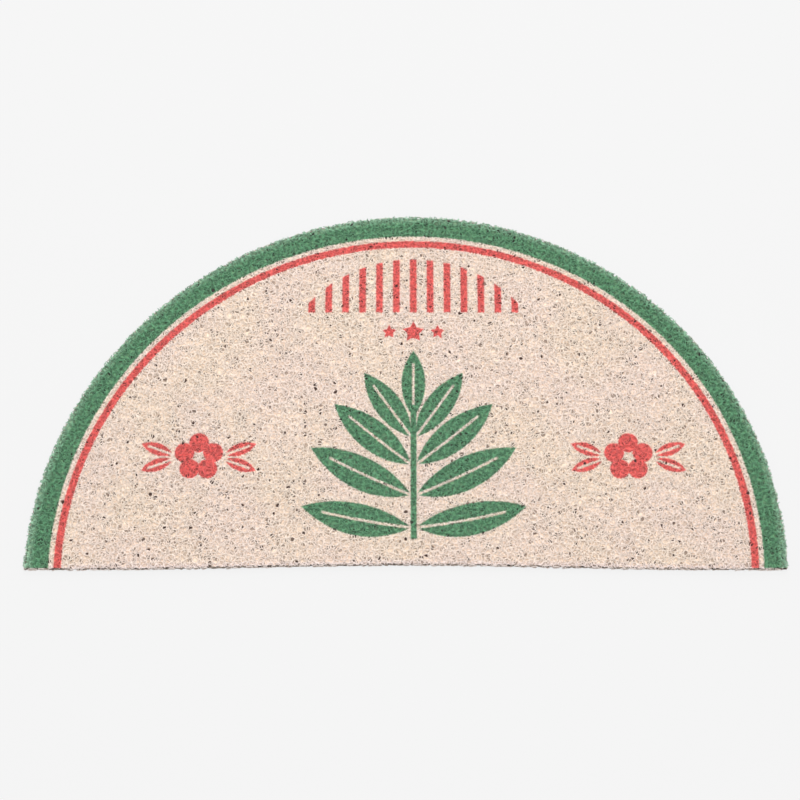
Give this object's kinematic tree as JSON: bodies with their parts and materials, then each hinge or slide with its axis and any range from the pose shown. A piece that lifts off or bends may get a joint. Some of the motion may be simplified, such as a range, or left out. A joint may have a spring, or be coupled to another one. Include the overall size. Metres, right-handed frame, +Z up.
{
  "type": "doormat",
  "caption": "Half-round doormat of looped PVC filament, one flat piece with a raw cut rim, printed with a border band, bars, stars and leaves, for a floor by a door.",
  "frame": {"origin": "middle of the underside: under the middle of the straight edge, half the depth in from it", "axes": "+X along the straight edge, to the right of someone who faces it; +Y from the straight edge to the arc; +Z up"},
  "size_m": [0.8991, 0.4474, 0.0099],
  "materials": {
    "looped_pvc": "matt extruded filament, cream, with a green and red print on top"
  },
  "bodies": {
    "root": {"mat": "looped_pvc"}
  },
  "joints": []
}
